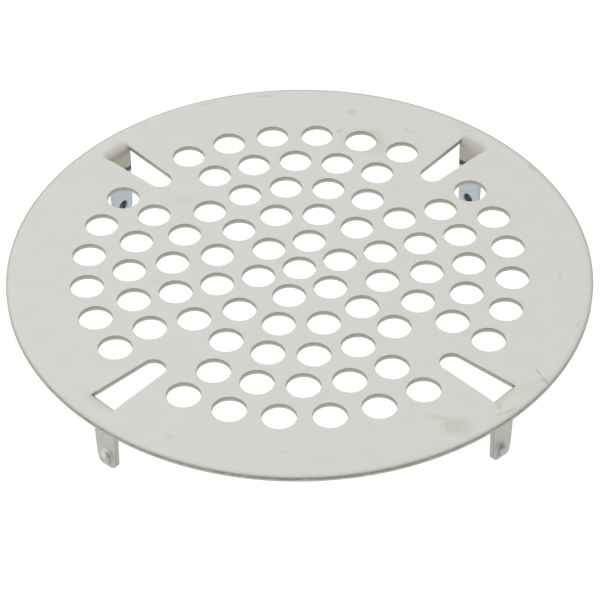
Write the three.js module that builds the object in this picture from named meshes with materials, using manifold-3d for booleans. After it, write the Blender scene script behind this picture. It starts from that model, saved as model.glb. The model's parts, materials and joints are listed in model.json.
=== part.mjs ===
// Snap-in floor drain grate: a flat strainer stamped from one sheet of stainless steel.
//
// The round plate has a centre hole and five rings of holes that let water through. Four tabs
// are lanced out of radial slots near the rim and bent straight down at their outer ends. They
// are the spring legs that hold the plate in the throat of a drain, and a pip pressed outward
// near the tip of each leg bears on the throat's wall.
//
// Millimetres, +Z up. The origin is the centre of the plane that the four leg tips stand on.
// A leg flexes at its bend, so each one is a mesh of its own, just clear of the plate.

import * as THREE from 'three';
import { mergeVertices } from 'three/addons/utils/BufferGeometryUtils.js';
import Module from 'manifold-3d';

const wasm = await Module();
wasm.setup();

// The sheet
const PLATE_RADIUS = 43.66; // 3 7/16 in across
const SHEET = 0.8;
const HEIGHT = 12.7; // the plate's top face above the leg tips, 1/2 in

// The holes: one at the centre, then rings on an even pitch. Where a ring would run into the
// slots, its places in line with the legs stay solid.
const HOLE_RADIUS = 2.5;
const RING_PITCH = 6.35; // 1/4 in
const RINGS = [
  { places: 6, firstAngle: 15, meetsSlots: false },
  { places: 12, firstAngle: 15, meetsSlots: false },
  { places: 18, firstAngle: 15, meetsSlots: false },
  { places: 24, firstAngle: 15, meetsSlots: true },
  { places: 28, firstAngle: 45, meetsSlots: true },
];

// The legs, and the slots that they were cut from
const LEGS = [
  { name: 'leg_back_right', angle: 45 },
  { name: 'leg_back_left', angle: 135 },
  { name: 'leg_front_left', angle: 225 },
  { name: 'leg_front_right', angle: 315 },
];
const SLOT_INNER = 28.3; // the slot's round inner end, from the plate's centre
const SLOT_END_RADIUS = 1.8;
const SLOT_TAPER = 2.8; // degrees on each side, so the slot widens towards the rim
const ROOT_GAP = 0.3; // between a leg's root and its slot's outer end
const LEG_TIP_HALF_WIDTH = 1.76;
const LEG_TIP_CORNER = 1.45; // radius of the tip's two corners
const LEG_TAPER = 1.9; // degrees on each side; at its root a leg is 0.12 inside its slot's edges
const BEND_START = 40.35; // where the sheet starts to turn down, from the plate's centre
const BEND_INSIDE = 0.25; // radius on the concave side, which faces the rim
const BEND_OUTSIDE = BEND_INSIDE + SHEET;
const LEG_LENGTH = HEIGHT - BEND_OUTSIDE; // below the bend's axis

// The pip pressed in each leg
const PIP_ABOVE_TIP = 1.9;
const PIP_HEIGHT = 0.95;
const PIP_RADIUS = 1.45; // where it rises from the leg's outer face
const DENT_RADIUS = 0.8; // of the round hollow behind it

// Facets
const RIM_SEGMENTS = 120;
const HOLE_SEGMENTS = 24;
const BEND_SEGMENTS = 6;
const CORNER_SEGMENTS = 6;
const PIP_RINGS = 5;
const PIP_SEGMENTS = 20;

const ON_AXIS = 1e-6; // a point this close to an outline's axis is its own mirror image

const steel = new THREE.MeshStandardMaterial({
  name: 'stainless_steel',
  color: new THREE.Color().setRGB(0.8, 0.8, 0.77, THREE.SRGBColorSpace),
  roughness: 0.38,
  metalness: 1.0,
});

const radians = THREE.MathUtils.degToRad;

function circle(x, y, radius, segments) {
  return new THREE.Path().absarc(x, y, radius, 0, 2 * Math.PI).getSpacedPoints(segments);
}

// The outline of a tongue that lies along x: an end at endX with two rounded corners, which meet
// where corner is the half width, and sides that spread by taper on their way to rootX, where it
// is cut off square.
function tonguePoints(endX, rootX, halfWidth, corner, taper) {
  const centreX = endX + corner;
  const centreY = halfWidth - corner;
  const rootY = centreY + (corner + (rootX - centreX) * Math.sin(taper)) / Math.cos(taper);
  const first = Math.PI / 2 + taper;
  const half = [new THREE.Vector2(rootX, rootY)];
  for (let i = 0; i <= CORNER_SEGMENTS; i += 1) {
    const angle = first + ((Math.PI - first) * i) / CORNER_SEGMENTS;
    half.push(new THREE.Vector2(
      centreX + corner * Math.cos(angle),
      centreY + corner * Math.sin(angle),
    ));
  }
  const beyondAxis = half.filter((point) => point.y > ON_AXIS).reverse();
  return [...half, ...beyondAxis.map((point) => new THREE.Vector2(point.x, -point.y))];
}

// Where the holes' centres are, in polar form
function holePlaces() {
  const places = [{ radius: 0, angle: 0 }];
  RINGS.forEach((ring, index) => {
    for (let i = 0; i < ring.places; i += 1) {
      const angle = ring.firstAngle + (360 * i) / ring.places;
      const inLineWithLeg = LEGS.some((leg) => Math.abs(angle - leg.angle) < 1);
      if (!(ring.meetsSlots && inLineWithLeg)) {
        places.push({ radius: RING_PITCH * (index + 1), angle: radians(angle) });
      }
    }
  });
  return places;
}

function plateGeometry() {
  const outline = new THREE.Shape(circle(0, 0, PLATE_RADIUS, RIM_SEGMENTS));
  holePlaces().forEach(({ radius, angle }) => {
    const x = radius * Math.cos(angle);
    const y = radius * Math.sin(angle);
    outline.holes.push(new THREE.Path(circle(x, y, HOLE_RADIUS, HOLE_SEGMENTS)));
  });
  const centre = new THREE.Vector2();
  LEGS.forEach((leg) => {
    const slot = tonguePoints(
      SLOT_INNER, BEND_START + ROOT_GAP, SLOT_END_RADIUS, SLOT_END_RADIUS, radians(SLOT_TAPER),
    );
    slot.forEach((point) => point.rotateAround(centre, radians(leg.angle)));
    outline.holes.push(new THREE.Path(slot));
  });
  return new THREE.ExtrudeGeometry(outline, { depth: SHEET, bevelEnabled: false });
}

function toSolid(geometry) {
  const bare = geometry.clone();
  bare.deleteAttribute('normal');
  bare.deleteAttribute('uv');
  const merged = mergeVertices(bare, 1e-4);
  return new wasm.Manifold(new wasm.Mesh({
    numProp: 3,
    vertProperties: new Float32Array(merged.attributes.position.array),
    triVerts: new Uint32Array(merged.index.array),
  }));
}

function toGeometry(solid) {
  const mesh = solid.getMesh();
  const geometry = new THREE.BufferGeometry();
  geometry.setAttribute('position', new THREE.BufferAttribute(mesh.vertProperties, 3));
  geometry.setIndex(new THREE.BufferAttribute(mesh.triVerts, 1));
  geometry.computeVertexNormals();
  return geometry;
}

// The bent strip seen from the side, wider than any leg. Local origin: the bend's axis, with x
// away from the plate's centre and z up.
function bentStrip() {
  const side = new THREE.Shape();
  side.moveTo(0, BEND_OUTSIDE);
  side.absarc(0, 0, BEND_OUTSIDE, Math.PI / 2, Math.PI, false);
  side.lineTo(-BEND_OUTSIDE, -LEG_LENGTH);
  side.lineTo(-BEND_INSIDE, -LEG_LENGTH);
  side.absarc(0, 0, BEND_INSIDE, Math.PI, Math.PI / 2, true);
  const width = 4 * SLOT_END_RADIUS;
  const strip = new THREE.ExtrudeGeometry(side, {
    depth: width, bevelEnabled: false, curveSegments: BEND_SEGMENTS,
  });
  strip.translate(0, 0, -width / 2);
  strip.rotateX(Math.PI / 2);
  return toSolid(strip);
}

// The leg's outline seen from the plate's centre, as a block that trims the bent strip
function legTrim() {
  const outline = tonguePoints(
    -LEG_LENGTH, BEND_OUTSIDE + SHEET, LEG_TIP_HALF_WIDTH, LEG_TIP_CORNER, radians(LEG_TAPER),
  );
  const depth = 4 * BEND_OUTSIDE;
  const block = new THREE.ExtrudeGeometry(new THREE.Shape(outline), {
    depth, bevelEnabled: false,
  });
  block.translate(0, 0, -depth / 2);
  block.rotateY(-Math.PI / 2);
  return toSolid(block);
}

// A cap of a ball, with a short straight foot that roots it in the leg, turned about x
function pip() {
  const ballRadius = (PIP_RADIUS ** 2 + PIP_HEIGHT ** 2) / (2 * PIP_HEIGHT);
  const spread = Math.asin(PIP_RADIUS / ballRadius);
  const profile = [new THREE.Vector2(0, -SHEET / 2), new THREE.Vector2(PIP_RADIUS, -SHEET / 2)];
  for (let i = 0; i <= PIP_RINGS; i += 1) {
    const angle = spread * (1 - i / PIP_RINGS);
    profile.push(new THREE.Vector2(
      ballRadius * Math.sin(angle),
      ballRadius * Math.cos(angle) - ballRadius + PIP_HEIGHT,
    ));
  }
  profile[profile.length - 1].x = 0;
  const cap = new THREE.LatheGeometry(profile, PIP_SEGMENTS);
  cap.rotateZ(-Math.PI / 2);
  cap.translate(-BEND_INSIDE, 0, PIP_ABOVE_TIP - LEG_LENGTH);
  return toSolid(cap);
}

function dent() {
  const ball = new THREE.SphereGeometry(DENT_RADIUS, PIP_SEGMENTS, 2 * PIP_RINGS);
  ball.rotateZ(Math.PI / 2);
  ball.translate(-BEND_OUTSIDE, 0, PIP_ABOVE_TIP - LEG_LENGTH);
  return toSolid(ball);
}

function legGeometry() {
  return toGeometry(bentStrip().intersect(legTrim()).add(pip()).subtract(dent()));
}

const grate = new THREE.Group();
grate.name = 'floor_drain_grate';

const plate = new THREE.Mesh(plateGeometry(), steel);
plate.name = 'strainer_plate';
plate.position.z = HEIGHT - SHEET;
grate.add(plate);

const oneLeg = legGeometry();
LEGS.forEach(({ name, angle }) => {
  const leg = new THREE.Mesh(oneLeg, steel);
  leg.name = name;
  leg.position.set(
    BEND_START * Math.cos(radians(angle)),
    BEND_START * Math.sin(radians(angle)),
    HEIGHT - BEND_OUTSIDE,
  );
  leg.rotation.z = radians(angle);
  grate.add(leg);
});

export default grate;
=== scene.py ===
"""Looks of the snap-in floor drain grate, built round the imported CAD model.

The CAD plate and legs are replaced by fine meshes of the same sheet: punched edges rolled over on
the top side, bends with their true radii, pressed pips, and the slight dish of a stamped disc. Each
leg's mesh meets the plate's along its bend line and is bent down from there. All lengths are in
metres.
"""

import json
import math

import bpy
from mathutils import Matrix, Vector
from mathutils.geometry import delaunay_2d_cdt


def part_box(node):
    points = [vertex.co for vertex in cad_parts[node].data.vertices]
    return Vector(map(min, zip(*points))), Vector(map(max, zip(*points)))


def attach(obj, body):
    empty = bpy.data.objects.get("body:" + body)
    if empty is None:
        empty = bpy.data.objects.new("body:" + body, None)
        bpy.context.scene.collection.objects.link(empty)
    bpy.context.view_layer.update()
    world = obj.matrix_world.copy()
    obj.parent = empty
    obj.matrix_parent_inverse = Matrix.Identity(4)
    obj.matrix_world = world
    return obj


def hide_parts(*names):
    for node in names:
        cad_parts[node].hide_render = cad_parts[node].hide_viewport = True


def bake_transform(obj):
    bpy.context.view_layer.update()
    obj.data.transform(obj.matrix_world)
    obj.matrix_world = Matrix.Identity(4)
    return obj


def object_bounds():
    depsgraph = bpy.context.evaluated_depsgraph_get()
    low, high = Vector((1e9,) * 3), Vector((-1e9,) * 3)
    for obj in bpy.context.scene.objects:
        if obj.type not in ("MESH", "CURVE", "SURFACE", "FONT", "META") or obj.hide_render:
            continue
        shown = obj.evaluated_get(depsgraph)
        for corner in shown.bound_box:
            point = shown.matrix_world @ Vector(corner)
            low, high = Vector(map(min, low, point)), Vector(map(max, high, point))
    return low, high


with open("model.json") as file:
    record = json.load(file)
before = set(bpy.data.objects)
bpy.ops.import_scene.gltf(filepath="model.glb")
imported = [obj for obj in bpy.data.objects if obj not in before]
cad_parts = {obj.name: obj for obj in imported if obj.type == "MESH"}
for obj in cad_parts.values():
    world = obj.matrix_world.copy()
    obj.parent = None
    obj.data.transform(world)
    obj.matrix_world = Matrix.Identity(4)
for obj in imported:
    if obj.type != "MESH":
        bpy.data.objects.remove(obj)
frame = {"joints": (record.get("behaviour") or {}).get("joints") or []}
cad_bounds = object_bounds()

MM = 0.001

# From the frame
PLATE_LOW, PLATE_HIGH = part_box("strainer_plate")
TOP = PLATE_HIGH.z
SHEET = PLATE_HIGH.z - PLATE_LOW.z
PLATE_RADIUS = PLATE_HIGH.x
HINGES = {joint["child"]: Vector(joint["pos_m"]) for joint in frame["joints"]}
LEG_NODES = {
    "back_right_leg": "leg_back_right",
    "back_left_leg": "leg_back_left",
    "front_left_leg": "leg_front_left",
    "front_right_leg": "leg_front_right",
}
ANY_HINGE = HINGES["back_right_leg"]
BEND_START = ANY_HINGE.xy.length
BEND_AXIS_Z = ANY_HINGE.z
BEND_OUTSIDE = TOP - BEND_AXIS_Z
BEND_MIDDLE = BEND_OUTSIDE - SHEET / 2
STRAIGHT_LENGTH = BEND_AXIS_Z - cad_bounds[0].z

# Punched holes
HOLE_RADIUS = 2.5 * MM
RING_PITCH = 6.35 * MM
# Each ring's places, first angle in degrees, and whether it loses the places in line with the legs
RINGS = [(6, 15, False), (12, 15, False), (18, 15, False), (24, 15, True), (28, 45, True)]
IN_LINE = math.radians(1)
HOLE_STEPS = 56
RIM_STEPS = 360

# Slots and the legs cut from them
SLOT_INNER = 28.3 * MM
SLOT_END_RADIUS = 1.8 * MM
SLOT_TAPER = math.radians(2.8)
TIP_HALF_WIDTH = 1.86 * MM
TIP_CORNER = 1.5 * MM
KERF = 0.012 * MM  # between a leg's root and its slot's side
FLAT_ROOT = 0.1 * MM  # of each tab, flat between the plate and the bend
LEG_WALL = 0.6  # share of the cut wall's tone on a leg's sides

# How finely the outlines and legs are divided
END_STEPS = 20
KERF_STEPS = 4
SIDE_STEPS = 40
SIDE_CROWDING = 1.6  # above 1 it puts more of a slot's steps near the bend
COLUMNS = 36
ROOT_ROWS = 2
BEND_ROWS = 26
SHANK_ROWS = 30
PIP_ROWS = 18

# Points inside the metal: rings of them near the rim, and a fine grid by each bend
FILLER_INNER = 35.4 * MM
FILLER_SPACING = 1.3 * MM
SLOT_MARGIN = 1.0 * MM
FINE_SPACING = 0.22 * MM
FINE_ROWS = range(-5, 7)
FINE_COLUMNS = range(-16, 17)
FINE_BESIDE = 0.5 * MM
FINE_BEYOND = 0.2 * MM

# Edges: the punch draws the top edge down and leaves the underside's edge crisp. An edge's size
# is a multiple of ROLLOVER, and is 0 where a leg's mesh meets the plate's.
ROLLOVER = 0.09 * MM
UNDER_EDGE = 0.04 * MM
RIM_EDGE = 2.4
RIM_SPREAD = 5.0  # how much wider than deep the rim's edge is
KERF_EDGE = 0.12
DRAGGED_EDGE = 2.0  # added where the bending leg dragged the slot's edge down
WALL_BAND = 0.2 * SHEET
EDGE_MARGIN = 0.12 * MM
EDGE_STEPS = 5
EDGE_RAMP = 0.9 * MM  # from the bend line to the full edge

# Dish of the plate, and how far the plate is drawn down round each bend
DISH = 0.6 * MM
DRAW_DEPTH = 0.15 * MM
DRAW_LENGTH = 1.5 * MM
DRAW_WIDTH = 0.8 * MM
DRAW_FLAT = 0.6  # share of the bend line's half width that is drawn down in full
# Share of the leg face's painted shade, partly discolouration, on the plate round each bend
BACK_HALO = 0.75
FRONT_HALO = 0.2

# The pip pressed in each leg
PIP_ABOVE_TIP = 1.9 * MM
PIP_HEIGHT = 0.95 * MM
PIP_RADIUS = 1.42 * MM
PIP_SHARPNESS = 0.72
# Painted shade round the foot of each pip, on one side of it
PIP_FOOT_SHADE = 0.22
PIP_FOOT_PLACE = 0.85  # the painted shade's middle and half width, as shares of the pip's radius
PIP_FOOT_WIDTH = 0.3
DENT_DEPTH = 0.8 * MM
DENT_RADIUS = 1.0 * MM
DENT_SHARPNESS = 1.15

ROOT = BEND_START + FLAT_ROOT
BEND_END = FLAT_ROOT + BEND_MIDDLE * math.pi / 2
TAB_LENGTH = BEND_END + STRAIGHT_LENGTH


def dished(x, y, z):
    """A point of the flat design, lowered as the plate's dish lowers it; the leg tips stay put."""
    share = 1 - (x * x + y * y) / PLATE_RADIUS ** 2
    return Vector((x, y, z - DISH * share * z / TOP))


def edge_steps(size, spread=1.0):
    """The rounded top edge, the cut wall and the underside's edge, as steps of (distance in from
    the cut, depth below the top face, share of cut wall). The first and last lie on the faces."""
    quarter = [step / EDGE_STEPS for step in range(EDGE_STEPS + 1)]
    inset = ROLLOVER * size * spread
    drop = ROLLOVER * size
    under = UNDER_EDGE * size
    margin = EDGE_MARGIN * min(size, 1)
    top = [(inset * (1 - math.sin(q * math.pi / 2)), drop * (1 - math.cos(q * math.pi / 2)), q)
           for q in quarter]
    bottom = [(under * (1 - math.cos(q * math.pi / 2)),
               SHEET - under * (1 - math.sin(q * math.pi / 2)), 1 - q) for q in quarter]
    wall = [(0, WALL_BAND, 1), (0, SHEET - WALL_BAND, 1)]
    return [(inset + margin, 0, 0)] + top + wall + bottom + [(under + margin, SHEET, 0)]


def slot_half_width(x):
    past_centre = x - SLOT_INNER - SLOT_END_RADIUS
    return (SLOT_END_RADIUS + past_centre * math.sin(SLOT_TAPER)) / math.cos(SLOT_TAPER)


SLOT_ROOT_HALF_WIDTH = slot_half_width(ROOT)
TAB_ROOT_HALF_WIDTH = SLOT_ROOT_HALF_WIDTH - KERF
TAB_TAPER = math.atan((TAB_ROOT_HALF_WIDTH - TIP_HALF_WIDTH) / TAB_LENGTH)


def tab_half_width(along):
    return TAB_ROOT_HALF_WIDTH - along * math.tan(TAB_TAPER)


def ease(share):
    share = min(max(share, 0.0), 1.0)
    return share * share * (3 - 2 * share)


def bend_pull(x, y):
    """How much a point of the plate, in a leg's own axes, was pulled by the bend: 1 on the bend
    line, 0 away from it."""
    outward = min(max((x - ROOT) / DRAW_LENGTH, 0), 1)
    inward = ease(1 - (ROOT - x) / DRAW_LENGTH)
    flat = DRAW_FLAT * TAB_ROOT_HALF_WIDTH
    beside = (abs(y) - flat) / (TAB_ROOT_HALF_WIDTH - flat + DRAW_WIDTH)
    return (1 - outward) ** 2 * inward * ease(1 - beside)


class MeshMaker:
    """Collects the vertices and faces of one piece, with four values at each vertex: how much it
    is cut wall, how deep in the sheet it lies (0 on the plate's top or a leg's outward face), how
    much it has the painted reflection and shade of a leg's inward face, and how much painted shade
    it has, in the dent behind a pip or round the pip's foot."""

    def __init__(self, name):
        self.name = name
        self.vertices = []
        self.faces = []
        self.values = {"cut": [], "depth": [], "inward": [], "pit_shade": []}
        self.sharp = set()

    def add(self, position, cut=0.0, depth=0.0, inward=0.0, pit_shade=0.0):
        self.vertices.append(position)
        self.values["cut"].append(cut)
        self.values["depth"].append(depth)
        self.values["inward"].append(inward)
        self.values["pit_shade"].append(pit_shade)
        return len(self.vertices) - 1

    def face(self, *corners):
        """A face of those corners, less any that comes twice running."""
        kept = [corner for i, corner in enumerate(corners) if corner != corners[i - 1]]
        if len(kept) > 2:
            self.faces.append(kept)

    def bridge(self, first, second, closed=False):
        """Quads between two rows of equally many vertices."""
        for i in range(len(first) if closed else len(first) - 1):
            j = (i + 1) % len(first)
            self.face(first[i], first[j], second[j], second[i])

    def crease(self, row):
        """Marks the edges along a row of vertices as sharp."""
        self.sharp.update(frozenset(pair) for pair in zip(row, row[1:]))

    def finish(self, material):
        mesh = bpy.data.meshes.new(self.name)
        mesh.from_pydata(self.vertices, [], self.faces)
        for name, values in self.values.items():
            mesh.attributes.new(name, "FLOAT", "POINT").data.foreach_set("value", values)
        sharp = [frozenset(edge.vertices) in self.sharp for edge in mesh.edges]
        mesh.attributes.new("sharp_edge", "BOOLEAN", "EDGE").data.foreach_set("value", sharp)
        mesh.polygons.foreach_set("use_smooth", [True] * len(mesh.polygons))
        mesh.materials.append(material)
        piece = bpy.data.objects.new(self.name, mesh)
        bpy.context.scene.collection.objects.link(piece)
        piece.modifiers.new("weighted_normals", "WEIGHTED_NORMAL").keep_sharp = True
        return piece


# ---------------------------------------------------------------- the strainer plate

def leg_angle(body):
    hinge = HINGES[body]
    return math.atan2(hinge.y, hinge.x)


def turned(x, y, angle):
    return (x * math.cos(angle) - y * math.sin(angle), x * math.sin(angle) + y * math.cos(angle))


def hole_centres():
    centres = [(0.0, 0.0)]
    leg_angles = [leg_angle(body) for body in HINGES]
    for ring, (places, first_angle, meets_slots) in enumerate(RINGS, start=1):
        for place in range(places):
            angle = math.radians(first_angle + 360 * place / places)
            in_line = any(math.cos(angle - other) > math.cos(IN_LINE) for other in leg_angles)
            if not (meets_slots and in_line):
                centres.append(turned(RING_PITCH * ring, 0, angle))
    return centres


def circle_outline(centre, radius, steps, material_side, size=1.0):
    """Points of (x, y, direction into the metal, edge size)."""
    points = []
    for step in range(steps):
        angle = material_side * 2 * math.pi * step / steps
        c, s = math.cos(angle), math.sin(angle)
        points.append((centre[0] + radius * c, centre[1] + radius * s,
                       material_side * c, material_side * s, size))
    return points


def slot_edge_size(inward):
    """The edge size on a slot's side: the bending leg dragged the edge down beside the bend."""
    size = KERF_EDGE + (1 - KERF_EDGE) * ease(inward / EDGE_RAMP)
    return size + DRAGGED_EDGE * ease(inward / EDGE_RAMP) * ease(2 - inward / EDGE_RAMP)


def slot_outline():
    """The slot in the leg's own axes, from the bend line's +y end round to its -y end and back."""
    middle = (SLOT_ROOT_HALF_WIDTH + TAB_ROOT_HALF_WIDTH) / 2
    kerf_radius = (SLOT_ROOT_HALF_WIDTH - TAB_ROOT_HALF_WIDTH) / 2
    half = []
    for step in range(1, KERF_STEPS + 1):
        angle = math.pi * (step / KERF_STEPS - 0.5)
        c, s = math.cos(angle), math.sin(angle)
        half.append((ROOT + kerf_radius * c, middle + kerf_radius * s, c, s,
                     KERF_EDGE * step / KERF_STEPS))
    centre = SLOT_INNER + SLOT_END_RADIUS
    tangent = centre - SLOT_END_RADIUS * math.sin(SLOT_TAPER)
    for step in range(1, SIDE_STEPS):
        share = (step / SIDE_STEPS) ** SIDE_CROWDING
        x = ROOT + (tangent - ROOT) * share
        half.append((x, slot_half_width(x), -math.sin(SLOT_TAPER), math.cos(SLOT_TAPER),
                     slot_edge_size(ROOT - x)))
    for step in range(END_STEPS + 1):
        start = math.pi / 2 + SLOT_TAPER
        angle = start + (math.pi - start) * step / END_STEPS
        c, s = math.cos(angle), math.sin(angle)
        half.append((centre + SLOT_END_RADIUS * c, SLOT_END_RADIUS * s, c, s, 1.0))
    mirrored = [(x, -y, nx, -ny, size) for x, y, nx, ny, size in reversed(half[:-1])]
    bend_line = [(ROOT, y, 1.0, 0.0, 0.0) for y in root_row_places()]
    return half + mirrored + bend_line


def root_row_places():
    """Where the vertices of a leg's root row lie across it, from -y to +y."""
    step = 2 * TAB_ROOT_HALF_WIDTH / COLUMNS
    return [-TAB_ROOT_HALF_WIDTH + step * i for i in range(COLUMNS + 1)]


def place_on_plate(x, y, z, angle=None):
    """A point of the flat plate, given in a leg's axes if angle is given, as it lies in the end."""
    if angle is not None:
        z -= DRAW_DEPTH * bend_pull(x, y)
        x, y = turned(x, y, angle)
    return dished(x, y, z)


def add_edge(maker, outline, angle, spread):
    """The rounded cut along an outline. Returns its top row and its underside row."""
    rows = [[] for _ in edge_steps(1)]
    for x, y, nx, ny, size in outline:
        shared = {}
        for row, (inset, below, cut) in zip(rows, edge_steps(size, spread)):
            on_top = below < SHEET / 2
            if size == 0 and on_top in shared:
                row.append(shared[on_top])
                continue
            px, py = x + nx * inset, y + ny * inset
            position = place_on_plate(px, py, TOP - below, angle)
            if angle is not None:
                cut *= 1 - bend_pull(px, py) * (1 - FRONT_HALO)
            cut *= min(1, size * 2)
            row.append(maker.add(position, cut, below / SHEET, halo_share(px, py, below, cut, angle)))
            shared[on_top] = row[-1]
    for first, second in zip(rows, rows[1:]):
        maker.bridge(first, second, closed=True)
    joined = [i for i, point in enumerate(outline) if point[4] == 0]
    for row in (rows[0], rows[-1]):
        maker.crease([row[i] for i in joined])
    return rows[0], rows[-1]


def halo_share(x, y, below, cut, angle):
    """The plate's share of the leg face's painted tone: a halo round each bend, painted shade and
    partly discolouration, on the top face only.
    """
    if angle is None or below > SHEET / 2:
        return 0.0
    return bend_halo(angle) * bend_pull(x, y) * (1 - cut)


def bend_halo(angle):
    """How much of the leg face's painted tone there is on the bend line: more painted shade on the
    back legs' bends.
    """
    return BACK_HALO if math.sin(angle) > 0 else FRONT_HALO


def inside(point, polygon):
    """True if the point is inside the polygon, by counting crossings."""
    odd = False
    px, py = point
    for (ax, ay), (bx, by) in zip(polygon, polygon[1:] + polygon[:1]):
        if (ay > py) != (by > py) and px < ax + (bx - ax) * (py - ay) / (by - ay):
            odd = not odd
    return odd


def filler_points():
    """Points inside the metal, so that the rim's dish and the draw beside the bends show."""
    points = []
    radius = FILLER_INNER
    outermost = PLATE_RADIUS - edge_steps(RIM_EDGE, RIM_SPREAD)[0][0] - FILLER_SPACING / 2
    while radius < outermost:
        count = int(2 * math.pi * radius / FILLER_SPACING)
        for i in range(count):
            x, y = turned(radius, 0, 2 * math.pi * i / count)
            if all(not near_slot(*turned(x, y, -leg_angle(body))) for body in HINGES):
                points.append((x, y))
        radius += FILLER_SPACING
    for body in HINGES:
        for i in FINE_ROWS:
            for j in FINE_COLUMNS:
                x, y = ROOT + (i + 0.5) * FINE_SPACING, j * FINE_SPACING
                beside = abs(y) > SLOT_ROOT_HALF_WIDTH + FINE_BESIDE
                if beside or x > ROOT + FINE_BEYOND:
                    points.append(turned(x, y, leg_angle(body)))
    return points


def near_slot(x, y):
    return (SLOT_INNER - SLOT_MARGIN < x < BEND_START + 2 * SLOT_MARGIN
            and abs(y) < SLOT_ROOT_HALF_WIDTH + 2 * SLOT_MARGIN)


def make_plate(material):
    maker = MeshMaker("strainer_plate_sheet")
    rim = circle_outline((0, 0), PLATE_RADIUS, RIM_STEPS, -1, RIM_EDGE)
    loops = [(rim, None, RIM_SPREAD)]
    loops += [(circle_outline(c, HOLE_RADIUS, HOLE_STEPS, 1), None, 1.0) for c in hole_centres()]
    loops += [(slot_outline(), leg_angle(body), 1.0) for body in HINGES]
    flat, edges, owners, top_rows, under_rows = [], [], [], [], []
    for number, (outline, angle, spread) in enumerate(loops):
        top, under = add_edge(maker, outline, angle, spread)
        top_rows += top
        under_rows += under
        first = len(flat)
        for x, y, nx, ny, size in outline:
            inset = edge_steps(size, spread)[0][0]
            point = (x + nx * inset, y + ny * inset)
            flat.append(point if angle is None else turned(*point, angle))
            owners.append(number)
        edges += [(first + i, first + (i + 1) % len(outline)) for i in range(len(outline))]
    for x, y in filler_points():
        local = min((turned(x, y, -leg_angle(body)) + (leg_angle(body),) for body in HINGES),
                    key=lambda place: abs(place[1]) - place[0])
        halo = halo_share(local[0], local[1], 0, 0, local[2])
        top_rows.append(maker.add(place_on_plate(local[0], local[1], TOP, local[2]), inward=halo))
        under_rows.append(maker.add(place_on_plate(local[0], local[1], TOP - SHEET, local[2]),
                                    depth=1.0))
        flat.append((x, y))
        owners.append(None)
    rings = [[] for _ in loops]
    for point, owner in zip(flat, owners):
        if owner is not None:
            rings[owner].append(point)
    scaled = [Vector((x / MM, y / MM)) for x, y in flat]
    _, _, triangles, origins, _, _ = delaunay_2d_cdt(scaled, edges, [], 0, 1e-7)
    for triangle in triangles:
        corners = [origins[v][0] for v in triangle]
        loop = owners[corners[0]]
        if loop and all(owners[c] == loop for c in corners):
            middle = [sum(flat[c][axis] for c in corners) / 3 for axis in (0, 1)]
            if inside(middle, rings[loop]):
                continue
        maker.face(*[top_rows[c] for c in corners])
        maker.face(*[under_rows[c] for c in reversed(corners)])
    return maker.finish(material)


# ---------------------------------------------------------------- the legs

def pressed(distance, radius, height, sharpness):
    """Height of a round pressed bump. The higher its sharpness, the softer its foot."""
    share = 1 - (distance / radius) ** 2
    return height * share ** sharpness if share > 0 else 0.0


def fold(along, across, below, angle):
    """A point of the flat tab, at a distance along it from the bend line, across it, and below its
    top face, as it lies once the tab is bent down."""
    pip_place = TAB_LENGTH - PIP_ABOVE_TIP
    distance = math.hypot(along - pip_place, across)
    dent = pressed(distance, DENT_RADIUS, DENT_DEPTH, DENT_SHARPNESS)
    pip = pressed(distance, PIP_RADIUS, PIP_HEIGHT, PIP_SHARPNESS)
    below += dent + (pip - dent) * below / SHEET
    before_bend = max(FLAT_ROOT - along, 0)
    turn = min(max(along - FLAT_ROOT, 0) / BEND_MIDDLE, math.pi / 2)
    past_bend = max(along - BEND_END, 0)
    radius = BEND_OUTSIDE - below
    x = BEND_START + before_bend - radius * math.sin(turn)
    drawn = DRAW_DEPTH * bend_pull(ROOT, across) * (1 - along / TAB_LENGTH)
    z = BEND_AXIS_Z + radius * math.cos(turn) - past_bend - drawn
    return dished(*turned(x, across, angle), z)


def spaced(start, end, count):
    """count places from start on, evenly spaced towards end, without end itself."""
    return [start + (end - start) * i / count for i in range(count)]


def tab_half_outline():
    """The tab's +y side, from the bend line to the tip: (along, across, direction into the metal,
    edge size)."""
    pip_start = TAB_LENGTH - PIP_ABOVE_TIP - PIP_RADIUS
    corner_start = TAB_LENGTH - TIP_CORNER * (1 - math.sin(TAB_TAPER))
    places = spaced(0, FLAT_ROOT, ROOT_ROWS) + spaced(FLAT_ROOT, BEND_END, BEND_ROWS)
    places += spaced(BEND_END, pip_start, SHANK_ROWS) + spaced(pip_start, corner_start, PIP_ROWS)
    inward = (-math.sin(TAB_TAPER), -math.cos(TAB_TAPER))
    outline = [(s, tab_half_width(s), *inward, ease(s / EDGE_RAMP)) for s in places]
    start = math.pi / 2 - TAB_TAPER
    corner_y = tab_half_width(corner_start) - TIP_CORNER * math.cos(TAB_TAPER)
    for step in range(END_STEPS + 1):
        angle = start * (1 - step / END_STEPS)
        c, s = math.cos(angle), math.sin(angle)
        outline.append((TAB_LENGTH - TIP_CORNER * (1 - c), corner_y + TIP_CORNER * s, -c, -s, 1.0))
    return outline


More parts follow.
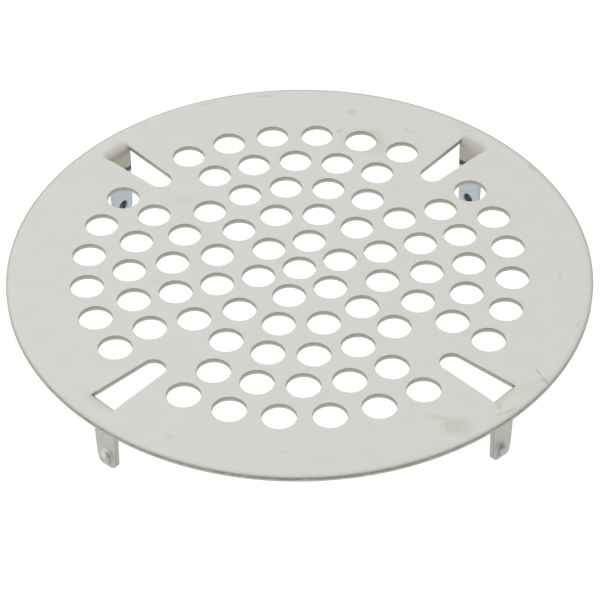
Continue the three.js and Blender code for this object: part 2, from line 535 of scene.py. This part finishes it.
def add_leg_point(maker, along, across, below, angle, cut=0.0):
    inner_side = 1 - ease(2 * below / SHEET)
    halo = bend_halo(angle)
    # Share of the leg face's painted reflection and shade: the bend's halo share at the root, full
    # past the bend
    inward = (halo + (1 - halo) * ease(along / BEND_END)) * inner_side * (1 - cut)
    distance = math.hypot(along - TAB_LENGTH + PIP_ABOVE_TIP, across)
    off_foot = abs(distance / PIP_RADIUS - PIP_FOOT_PLACE)
    foot = max(1 - off_foot / PIP_FOOT_WIDTH, 0)
    foot *= ease(0.5 - math.copysign(1, math.cos(angle)) * across / PIP_RADIUS)
    # Painted shade: dark in the dent behind the pip, and on one side of the pip's foot
    pit_shade = pressed(distance, DENT_RADIUS, inward, DENT_SHARPNESS)
    pit_shade += PIP_FOOT_SHADE * foot * (1 - inner_side)
    return maker.add(fold(along, across, below, angle), cut, 1 - below / SHEET, inward, pit_shade)


def make_leg(body, material):
    """The tab, as rows across it from the bend line to the tip. Each row goes right round the
    sheet: over the top face, down one cut side, back along the under face and up the other."""
    maker = MeshMaker(LEG_NODES[body] + "_sheet")
    angle = leg_angle(body)
    rounds = []
    for along, across, in_along, in_across, size in tab_half_outline():
        steps = edge_steps(size)
        sides = {}
        for side in (1, -1):
            sides[side] = []
            shared = {}
            for inset, below, cut in steps:
                on_top = below < SHEET / 2
                if size == 0 and on_top in shared:
                    sides[side].append(shared[on_top])
                    continue
                cut = leg_cut(below, cut) * min(1, size * 2)
                sides[side].append(add_leg_point(
                    maker, along + in_along * inset, side * (across + in_across * inset), below,
                    angle, cut))
                shared[on_top] = sides[side][-1]
        faces = []
        for inset, below, _ in (steps[0], steps[-1]):
            half = across + in_across * inset
            faces.append([add_leg_point(maker, along + in_along * inset, half * place, below, angle)
                          for place in spaced(-1, 1, COLUMNS)[1:]])
        rounds.append((faces[0], sides[1], faces[1], sides[-1]))
    for pair in zip(rounds, rounds[1:]):
        maker.bridge(*[top + right + under[::-1] + left[::-1] for top, right, under, left in pair],
                     closed=True)
    top, right, under, left = rounds[0]
    root = [[left[0]] + top + [right[0]], [left[-1]] + under + [right[-1]]]
    maker.bridge(root[1], root[0])
    for row in root:
        maker.crease(row)
    end_wall(maker, rounds[-1], angle)
    return maker.finish(material)


def leg_cut(below, cut):
    """A leg's cut wall is brighter than the plate's, except along its outer edge."""
    return min(cut, LEG_WALL) if below < SHEET - WALL_BAND / 2 else cut


def end_wall(maker, last_round, angle):
    """Closes the tip: its own rounded edges and cut wall, between the two corners."""
    top, right, under, left = last_round
    rows = [[left[0]] + top + [right[0]]]
    half = tab_half_outline()[-1][1]
    for number, (inset, below, cut) in list(enumerate(edge_steps(1)))[1:-1]:
        middle = [add_leg_point(maker, TAB_LENGTH - inset, half * place, below, angle,
                                leg_cut(below, cut)) for place in spaced(-1, 1, COLUMNS)[1:]]
        rows.append([left[number]] + middle + [right[number]])
    rows.append([left[-1]] + under + [right[-1]])
    for first, second in zip(rows, rows[1:]):
        maker.bridge(first, second)


# ---------------------------------------------------------------- material

# The colour mix node's two colour inputs and its colour output, by index
MIX_INPUTS = (6, 7)
MIX_OUTPUT = 2


class Nodes:
    """Short ways to add shader nodes and wire them."""

    def __init__(self, tree):
        self.tree = tree

    def add(self, kind, inputs=(), **settings):
        node = self.tree.nodes.new(kind)
        for name, value in settings.items():
            setattr(node, name, value)
        for name, value in dict(inputs).items():
            if isinstance(value, bpy.types.NodeSocket):
                self.tree.links.new(value, node.inputs[name])
            else:
                node.inputs[name].default_value = value
        return node

    def maths(self, operation, first, second=0.0, third=0.0):
        return self.add("ShaderNodeMath", {0: first, 1: second, 2: third},
                        operation=operation).outputs[0]

    def noise(self, vector, scale, detail=3.0, roughness=0.5):
        return self.add("ShaderNodeTexNoise", {"Vector": vector, "Scale": scale, "Detail": detail,
                                               "Roughness": roughness}).outputs["Fac"]

    def ramp(self, value, low, high, to_low=0.0, to_high=1.0):
        return self.add("ShaderNodeMapRange", {
            "Value": value, "From Min": low, "From Max": high, "To Min": to_low,
            "To Max": to_high}, interpolation_type="SMOOTHSTEP").outputs[0]

    def mix(self, share, first, second, blend="MIX"):
        node = self.add("ShaderNodeMix", {0: share}, data_type="RGBA", blend_type=blend)
        for index, value in zip(MIX_INPUTS, (first, second)):
            if isinstance(value, bpy.types.NodeSocket):
                self.tree.links.new(value, node.inputs[index])
            else:
                node.inputs[index].default_value = (*value, 1.0)
        return node.outputs[MIX_OUTPUT]

    def stretched(self, vector, scale, turn=0.0, location=(0, 0, 0)):
        return self.add("ShaderNodeMapping", {
            "Vector": vector, "Scale": scale, "Rotation": (0, 0, turn), "Location": location,
        }).outputs[0]

    def attribute(self, name):
        return self.add("ShaderNodeAttribute", attribute_name=name).outputs["Fac"]


def new_material(name):
    material = bpy.data.materials.new(name)
    material.use_nodes = True
    material.node_tree.nodes.clear()
    return material, Nodes(material.node_tree)


# Linear colours of the steel
FINE_DARK = (0.775, 0.782, 0.742)
FINE_LIGHT = (0.81, 0.817, 0.775)
MOTTLED = (0.765, 0.768, 0.722)
LEG_DARKER = (0.66, 0.655, 0.60)
SMUDGED = (0.54, 0.48, 0.34)
SCRATCHED = (0.42, 0.40, 0.36)
WALL_UNDER = (0.53, 0.51, 0.43)
WALL_TOP = (0.70, 0.67, 0.56)
# Painted shade in the dents behind the pips and round their feet
PIT_SHADE_COLOUR = (0.09, 0.07, 0.05)
# Painted reflection and shade on the legs' inward faces
LEG_LIT_REFLECTION = (0.76, 0.85, 0.91)
LEG_SHADED_REFLECTION = (0.64, 0.62, 0.53)
LEG_DARK_REFLECTION = (0.10, 0.085, 0.06)

GRAIN_HEIGHT = 0.02 * MM

# Heights of the bands of painted reflection and shade on a leg's inward face, each as where it starts
# and where it is full
STRAW_BAND = (8.1 * MM, 8.5 * MM)
DARK_LINE_FROM = (7.9 * MM, 8.2 * MM)
DARK_LINE_TO = (9.3 * MM, 8.7 * MM)
BAND_WANDER = 0.9 * MM
LEG_TONE = (11 * MM, 10 * MM)

# Handling marks on the plate's top, in mm and degrees: x, y, length, width, turn, strength. A
# program worked out most of their places from the photograph.
SMUDGES = [
    (20.9, -34.4, 2.6, 2.0, 0, 0.38),
    (18.6, -32.6, 2.2, 0.6, -12, 0.30),
    (27.1, -30.8, 0.9, 0.45, 35, 0.40),
    (28.6, -31.7, 1.4, 0.4, 30, 0.40),
    (27.0, -32.4, 1.0, 0.4, 25, 0.35),
    (9.4, 37.3, 1.3, 0.9, 0, 0.30),
    (7.3, 32.6, 1.0, 0.5, 40, 0.30),
    (18.5, 32.2, 1.4, 0.5, -30, 0.30),
    (11.1, 30.2, 3.9, 3.5, 0, 0.42),
    (14.5, 27.8, 3.0, 1.8, 20, 0.14),
    (-4.8, 42.0, 1.8, 0.5, 0, 0.30),
    (-14.0, 40.2, 1.6, 0.5, 15, 0.25),
    (12.8, 41.5, 1.8, 0.5, -15, 0.30),
    (37.0, 21.9, 1.6, 0.5, -60, 0.35),
    (-25.1, 1.4, 1.2, 0.7, 0, 0.20),
    (-21.4, -2.8, 1.0, 0.7, 30, 0.20),
    (-18.7, -35.3, 0.8, 0.6, 0, 0.22),
    (-15.4, -34.9, 0.4, 0.4, 0, 0.15),
    (-3.0, -38.5, 0.9, 0.4, 0, 0.14),
    (-4.8, -37.6, 0.7, 0.3, -20, 0.12),
    (-17.2, 16.7, 3.0, 1.6, 0, 0.12),
    (24.9, 24.2, 2.6, 1.2, 45, 0.14),
    (31.5, -27.0, 3.0, 1.2, 40, 0.16),
    (24.0, -15.6, 1.4, 0.9, -40, 0.20),
]
SCRATCHES = [
    (33.4, -24.2, 1.6, 0.16, -68, 0.60),
    (34.0, -25.8, 0.9, 0.45, -60, 0.45),
    (38.6, -3.7, 2.2, 0.10, 80, 0.25),
    (39.0, -6.0, 1.6, 0.08, 75, 0.20),
    (27.3, 32.1, 1.9, 0.12, -35, 0.30),
    (26.6, 33.0, 1.6, 0.09, -30, 0.22),
    (40.1, -14.3, 0.8, 0.15, 70, 0.40),
]


def marks(nodes, place, blotches, places):
    """The strongest of several soft ellipses at each point, broken up by blotches."""
    total = 0.0
    for x, y, length, width, turn, strength in places:
        local = nodes.add("ShaderNodeMapping", {
            "Vector": place, "Location": (x * MM, y * MM, 0), "Rotation": (0, 0, math.radians(turn)),
            "Scale": (length * MM, width * MM, 1)}, vector_type="TEXTURE").outputs[0]
        distance = nodes.add("ShaderNodeVectorMath", {0: local}, operation="LENGTH").outputs["Value"]
        spot = nodes.ramp(distance, 1.2, 0.3, 0, strength)
        total = nodes.maths("MAXIMUM", spot, total)
    return nodes.maths("MULTIPLY", total, blotches)


def painted_leg_face(nodes, place, blotches):
    """The inward face of a leg, painted with its reflections: straw-coloured painted shade by the
    bend, then a dark line of painted reflection, and below it the cool painted reflection of the lit
    floor."""
    height = nodes.add("ShaderNodeSeparateXYZ", {0: place}).outputs["Z"]
    wander = nodes.maths("MULTIPLY_ADD", nodes.noise(place, 500, 2.0), BAND_WANDER,
                         -BAND_WANDER / 2)
    level = nodes.maths("ADD", height, wander)
    face = nodes.mix(nodes.ramp(level, *STRAW_BAND), LEG_LIT_REFLECTION, LEG_SHADED_REFLECTION)
    line = nodes.maths("MULTIPLY", nodes.ramp(level, *DARK_LINE_FROM), nodes.ramp(level, *DARK_LINE_TO))
    patchy = nodes.ramp(blotches, 0.3, 0.55, 0.3, 1)
    return nodes.mix(nodes.maths("MULTIPLY", line, patchy), face, LEG_DARK_REFLECTION)


def make_steel():
    material, nodes = new_material("satin_stainless_steel")
    place = nodes.add("ShaderNodeTexCoord").outputs["Object"]
    brushing = nodes.noise(nodes.stretched(place, (500, 6000, 6000)), 1.0, 3.0, 0.6)
    speckle = nodes.maths("MULTIPLY", nodes.noise(place, 4200, 3.0, 0.65), 0.65)
    grain = nodes.maths("MULTIPLY_ADD", brushing, 0.35, speckle)
    mottle = nodes.noise(place, 240, 4.0, 0.6)
    blotches = nodes.noise(place, 1500, 3.0, 0.65)
    cut = nodes.attribute("cut")
    depth = nodes.attribute("depth")
    inward = nodes.attribute("inward")
    pit_shade = nodes.attribute("pit_shade")

    tone = nodes.mix(nodes.ramp(grain, 0.25, 0.75), FINE_DARK, FINE_LIGHT)
    tone = nodes.mix(nodes.ramp(mottle, 0.4, 0.7, 0, 0.5), tone, MOTTLED)
    height = nodes.add("ShaderNodeSeparateXYZ", {0: place}).outputs["Z"]
    on_legs = nodes.ramp(height, *LEG_TONE)
    # The legs, below the plate, are darker in patches
    darker_legs = nodes.maths("MULTIPLY", on_legs, nodes.ramp(blotches, 0.3, 0.7, 0.25, 0.75))
    tone = nodes.mix(darker_legs, tone, LEG_DARKER)
    on_top = nodes.ramp(depth, 0.3, 0.1)
    patches = nodes.ramp(blotches, 0.2, 0.6)
    smudge = nodes.maths("MULTIPLY", marks(nodes, place, patches, SMUDGES), on_top)
    tone = nodes.mix(smudge, tone, SMUDGED)
    scratch = nodes.maths("MULTIPLY", marks(nodes, place, patches, SCRATCHES), on_top)
    tone = nodes.mix(scratch, tone, SCRATCHED)
    # A leg's inward face, and the halo round each bend, take the painted reflection and shade
    tone = nodes.mix(inward, tone, painted_leg_face(nodes, place, blotches))
    wall = nodes.mix(nodes.ramp(depth, 0.1, 0.95), WALL_UNDER, WALL_TOP)
    tone = nodes.mix(nodes.ramp(cut, 0.3, 1.0), tone, wall)
    # Painted shade in the dents behind the pips and round their feet, in patches
    pit_shading = nodes.maths("MULTIPLY", nodes.ramp(pit_shade, 0.05, 0.4, 0, 0.95),
                         nodes.ramp(blotches, 0.3, 0.55, 0.5, 1))
    tone = nodes.mix(pit_shading, tone, PIT_SHADE_COLOUR)

    roughness = nodes.maths("MULTIPLY_ADD", cut, 0.12, nodes.ramp(grain, 0.2, 0.8, 0.36, 0.44))
    roughness = nodes.maths("MULTIPLY_ADD", inward, 0.22, roughness)
    bump = nodes.add("ShaderNodeBump", {"Strength": 0.25, "Distance": GRAIN_HEIGHT, "Height": grain})
    shader = nodes.add("ShaderNodeBsdfPrincipled", {
        "Base Color": tone, "Metallic": 1.0, "Roughness": roughness,
        "Normal": bump.outputs[0]})
    nodes.add("ShaderNodeOutputMaterial", {"Surface": shader.outputs[0]})
    return material


# ---------------------------------------------------------------- camera, floor and light

CAMERA_AZIMUTH = math.radians(-1)
CAMERA_ELEVATION = math.radians(42.11)
CAMERA_TILT = math.radians(0.511)
CAMERA_DISTANCE = 0.329
CAMERA_TARGET = Vector((-0.1 * MM, -7.87 * MM, TOP))
SENSOR_MM = 36
LENS_MM = 134.5
NEAREST = 0.01
FARTHEST = 10

FLOOR_HALF = 1.5
CARD_GLOW = 0.4
PAPER_GLOW = 1.1
PAPER_SHARE = 0.95

# The tent's brightness, by the direction it is seen in: full at TENT_RAMP from the middle
BACK_LIGHT = 0.86
FRONT_LIGHT = 0.42
LEFT_LIGHT = 1.1
RIGHT_LIGHT = 0.9
TENT_RAMP = 0.6
BACKDROP = 0.97
SOFTBOX_PLACE = (-0.75, -0.4, 0.35)
SOFTBOX_SIZE = 0.7
SOFTBOX_WATTS = 0.9


def make_camera():
    """In front of the plate and a little to the left, looking down on it."""
    flat = math.cos(CAMERA_ELEVATION)
    back = Vector((math.sin(CAMERA_AZIMUTH) * flat, -math.cos(CAMERA_AZIMUTH) * flat,
                   math.sin(CAMERA_ELEVATION)))
    data = bpy.data.cameras.new("camera")
    data.sensor_width = SENSOR_MM
    data.lens = LENS_MM
    data.clip_start = NEAREST
    data.clip_end = FARTHEST
    camera = bpy.data.objects.new("camera", data)
    bpy.context.scene.collection.objects.link(camera)
    camera.rotation_mode = "QUATERNION"
    turn = (-back).to_track_quat("-Z", "Y").to_matrix() @ Matrix.Rotation(-CAMERA_TILT, 3, "Z")
    camera.rotation_quaternion = turn.to_quaternion()
    camera.location = CAMERA_TARGET + back * CAMERA_DISTANCE
    bpy.context.scene.camera = camera


def make_floor():
    """A pale floor: paper white to the camera, a softly lit card to the metal above it, and
    clear from below, so that the underside can be seen."""
    material, nodes = new_material("pale_floor")
    matte = nodes.add("ShaderNodeBsdfDiffuse", {"Color": (0.5, 0.5, 0.5, 1)})
    shine = nodes.add("ShaderNodeEmission", {"Color": (0.97, 0.99, 1, 1), "Strength": CARD_GLOW})
    card = nodes.add("ShaderNodeAddShader", {0: matte.outputs[0], 1: shine.outputs[0]})
    paper = nodes.add("ShaderNodeBsdfDiffuse", {"Color": (0.9, 0.9, 0.9, 1)})
    glow = nodes.add("ShaderNodeEmission", {"Color": (1, 1, 1, 1), "Strength": PAPER_GLOW})
    white = nodes.add("ShaderNodeMixShader", {0: PAPER_SHARE, 1: paper.outputs[0],
                                              2: glow.outputs[0]})
    seen = nodes.add("ShaderNodeLightPath").outputs["Is Camera Ray"]
    both = nodes.add("ShaderNodeMixShader", {0: seen, 1: card.outputs[0], 2: white.outputs[0]})
    clear = nodes.add("ShaderNodeBsdfTransparent")
    from_below = nodes.add("ShaderNodeNewGeometry").outputs["Backfacing"]
    sheet = nodes.add("ShaderNodeMixShader", {0: from_below, 1: both.outputs[0], 2: clear.outputs[0]})
    nodes.add("ShaderNodeOutputMaterial", {"Surface": sheet.outputs[0]})
    mesh = bpy.data.meshes.new("floor")
    corners = [(x * FLOOR_HALF, y * FLOOR_HALF, 0) for x, y in ((-1, -1), (1, -1), (1, 1), (-1, 1))]
    mesh.from_pydata(corners, [], [(0, 1, 2, 3)])
    mesh.materials.append(material)
    floor = bpy.data.objects.new("floor", mesh)
    bpy.context.scene.collection.objects.link(floor)


def make_light():
    """A light tent, brightest behind and to the left, and a softbox at the front left."""
    world = bpy.data.worlds.new("studio")
    world.use_nodes = True
    world.node_tree.nodes.clear()
    nodes = Nodes(world.node_tree)
    direction = nodes.add("ShaderNodeTexCoord").outputs["Generated"]
    towards = nodes.add("ShaderNodeSeparateXYZ", {0: direction}).outputs
    from_front = nodes.ramp(towards["Y"], -TENT_RAMP, TENT_RAMP, FRONT_LIGHT, BACK_LIGHT)
    from_left = nodes.ramp(towards["X"], -TENT_RAMP, TENT_RAMP, LEFT_LIGHT, RIGHT_LIGHT)
    strength = nodes.maths("MULTIPLY", from_front, from_left)
    tent = nodes.add("ShaderNodeBackground", {"Color": (1, 1, 0.985, 1), "Strength": strength})
    pale = nodes.add("ShaderNodeBackground", {"Color": (1, 1, 1, 1), "Strength": BACKDROP})
    seen = nodes.add("ShaderNodeLightPath").outputs["Is Camera Ray"]
    both = nodes.add("ShaderNodeMixShader", {0: seen, 1: tent.outputs[0], 2: pale.outputs[0]})
    nodes.add("ShaderNodeOutputWorld", {"Surface": both.outputs[0]})
    bpy.context.scene.world = world

    data = bpy.data.lights.new("softbox", "AREA")
    data.size = SOFTBOX_SIZE
    data.energy = SOFTBOX_WATTS
    softbox = bpy.data.objects.new("softbox", data)
    bpy.context.scene.collection.objects.link(softbox)
    softbox.location = SOFTBOX_PLACE
    softbox.rotation_mode = "QUATERNION"
    softbox.rotation_quaternion = softbox.location.to_track_quat("Z", "Y")


# ---------------------------------------------------------------- build

steel = make_steel()
plate = make_plate(steel)
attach(plate, "plate")
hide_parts("strainer_plate")

for body in HINGES:
    leg = make_leg(body, steel)
    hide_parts(LEG_NODES[body])
    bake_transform(leg)

make_camera()
make_floor()
make_light()
bpy.context.scene.view_settings.view_transform = "Standard"
